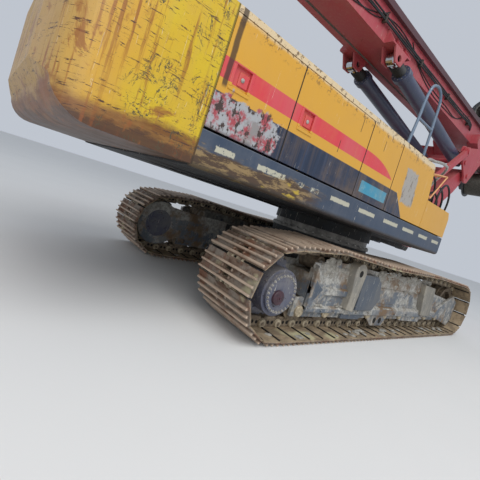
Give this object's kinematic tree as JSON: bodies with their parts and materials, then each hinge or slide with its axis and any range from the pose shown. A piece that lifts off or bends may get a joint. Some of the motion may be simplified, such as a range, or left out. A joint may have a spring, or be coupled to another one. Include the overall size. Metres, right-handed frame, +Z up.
{
  "type": "rotary piling rig",
  "caption": "Crawler-mounted rotary piling rig parked with its mast laid back over the house, with slewing upper, luffing boom, raising mast and crowd carriage",
  "frame": {"origin": "on the ground under the middle of the whole rig's box; the slew axis is 2.40 m ahead of it", "axes": "+X forward, the way the cab looks, +Y left, +Z up"},
  "size_m": [20.1, 3.352, 5.925],
  "materials": {
    "yellow_paint": "faded, chipped and dusty gloss paint",
    "counterweight_paint": "scraped and rusty paint on a casting",
    "blue_grey_paint": "dull paint with dried mud",
    "red_paint": "faded semi-gloss paint",
    "worn_steel": "bare and greasy",
    "muddy_steel": "rusty, with bare ridges and dried mud",
    "dark_grey_paint": "semi-gloss paint, oily",
    "glass": "clear, dusty",
    "seat_fabric": "matt, worn",
    "rail_paint": "semi-gloss paint",
    "chrome": "polished"
  },
  "bodies": {
    "undercarriage": {"carbody": "blue_grey_paint", "slew_ring": "worn_steel", "track_frame_right": "blue_grey_paint", "track_frame_left": "blue_grey_paint", "rollers_right": "muddy_steel", "rollers_left": "muddy_steel", "sprocket_right": "muddy_steel", "sprocket_left": "muddy_steel", "idler_right": "muddy_steel", "idler_left": "muddy_steel", "track_right": "muddy_steel", "track_left": "muddy_steel"},
    "upper": {"deck": "blue_grey_paint", "skirts": "blue_grey_paint", "counterweight": "counterweight_paint", "engine": "dark_grey_paint", "tank_housing": "yellow_paint", "front_box": "yellow_paint", "housing_left": "yellow_paint", "hood": "yellow_paint", "cab_shell": "yellow_paint", "cab_glass": "glass", "cab_seat": "seat_fabric", "handrails": "rail_paint", "boom_tower": "red_paint"},
    "right_rear_door": {"door_right_rear": "yellow_paint"},
    "right_front_door": {"door_right_front": "yellow_paint"},
    "left_rear_door": {"door_left_rear": "yellow_paint"},
    "cab_door_leaf": {"cab_door": "yellow_paint"},
    "boom": {"boom": "red_paint"},
    "struts": {"struts": "red_paint"},
    "triangle": {"triangle": "red_paint"},
    "luff_barrels": {"luff_barrels": "dark_grey_paint"},
    "luff_rods": {"luff_rods": "chrome"},
    "mast_barrels": {"mast_barrels": "dark_grey_paint"},
    "mast_rods": {"mast_rods": "chrome"},
    "mast": {"mast_lower": "red_paint", "mast_upper": "red_paint", "mast_head": "red_paint", "head_sheaves": "worn_steel", "crowd_barrel": "dark_grey_paint", "main_winch": "dark_grey_paint", "aux_winch": "dark_grey_paint"},
    "carriage": {"carriage": "red_paint", "rotary_drive": "dark_grey_paint"},
    "sleeve": {"drive_sleeve": "worn_steel"}
  },
  "joints": [
    {"name": "slew", "type": "hinge", "parent": "undercarriage", "child": "upper", "pos_m": [2.4, 0, 1.1404], "axis": [0, 0, 1], "continuous": true},
    {"name": "luff", "type": "hinge", "parent": "upper", "child": "boom", "pos_m": [4.3, 0, 1.65], "axis": [0, -1, 0], "range_deg": [-15, 20]},
    {"name": "strut_swing", "type": "hinge", "parent": "upper", "child": "struts", "pos_m": [3.73, 0, 2.05], "axis": [0, -1, 0], "range_deg": [-15, 20]},
    {"name": "triangle_level", "type": "hinge", "parent": "boom", "child": "triangle", "pos_m": [6.29172, 0, 3.32125], "axis": [0, -1, 0], "range_deg": [-20, 15]},
    {"name": "luff_barrel_swing", "type": "hinge", "parent": "upper", "child": "luff_barrels", "pos_m": [4.85, 0, 1.33], "axis": [0, -1, 0], "range_deg": [-16.45, 21.77]},
    {"name": "luff_rod_stroke", "type": "slide", "parent": "luff_barrels", "child": "luff_rods", "axis": [0.6503, 0, 0.7597], "range_m": [-0.1671, 0.2211]},
    {"name": "mast_raise", "type": "hinge", "parent": "triangle", "child": "mast", "pos_m": [6.85, 0, 4], "axis": [0, 1, 0], "range_deg": [0, 94]},
    {"name": "mast_barrel_swing", "type": "hinge", "parent": "triangle", "child": "mast_barrels", "pos_m": [5.95, 0, 3.54], "axis": [0, 1, 0], "range_deg": [-0.1, 96.34]},
    {"name": "mast_rod_stroke", "type": "slide", "parent": "mast_barrels", "child": "mast_rods", "axis": [-0.99, 0, 0.141], "range_m": [-0.001, 1.4696]},
    {"name": "crowd", "type": "slide", "parent": "mast", "child": "carriage", "axis": [-1, 0, 0], "range_m": [0, 4.2]},
    {"name": "drive_spin", "type": "hinge", "parent": "carriage", "child": "sleeve", "pos_m": [7.8, 0, 5.49], "axis": [1, 0, 0], "continuous": true},
    {"name": "right_rear_door_swing", "type": "hinge", "parent": "upper", "child": "right_rear_door", "pos_m": [-0.476, -1.5, 2], "axis": [0, 0, 1], "range_deg": [0, 90]},
    {"name": "right_front_door_swing", "type": "hinge", "parent": "upper", "child": "right_front_door", "pos_m": [0.7, -1.5, 2], "axis": [0, 0, 1], "range_deg": [0, 110]},
    {"name": "left_rear_door_swing", "type": "hinge", "parent": "upper", "child": "left_rear_door", "pos_m": [0, 1.5, 2], "axis": [0, 0, -1], "range_deg": [0, 110]},
    {"name": "cab_door_swing", "type": "hinge", "parent": "upper", "child": "cab_door_leaf", "pos_m": [1.814, 1.5, 2.4], "axis": [0, 0, 1], "range_deg": [0, 95]}
  ],
  "couplings": [
    {"joint": "strut_swing", "follows": "luff", "ratio": 1},
    {"joint": "triangle_level", "follows": "luff", "ratio": -1},
    {"joint": "luff_barrel_swing", "follows": "luff", "ratio": 1.0633},
    {"joint": "luff_rod_stroke", "follows": "luff", "m_per_rad": 0.61899},
    {"joint": "mast_barrel_swing", "follows": "mast_raise", "ratio": 1.0238},
    {"joint": "mast_rod_stroke", "follows": "mast_raise", "m_per_rad": 0.89515}
  ]
}
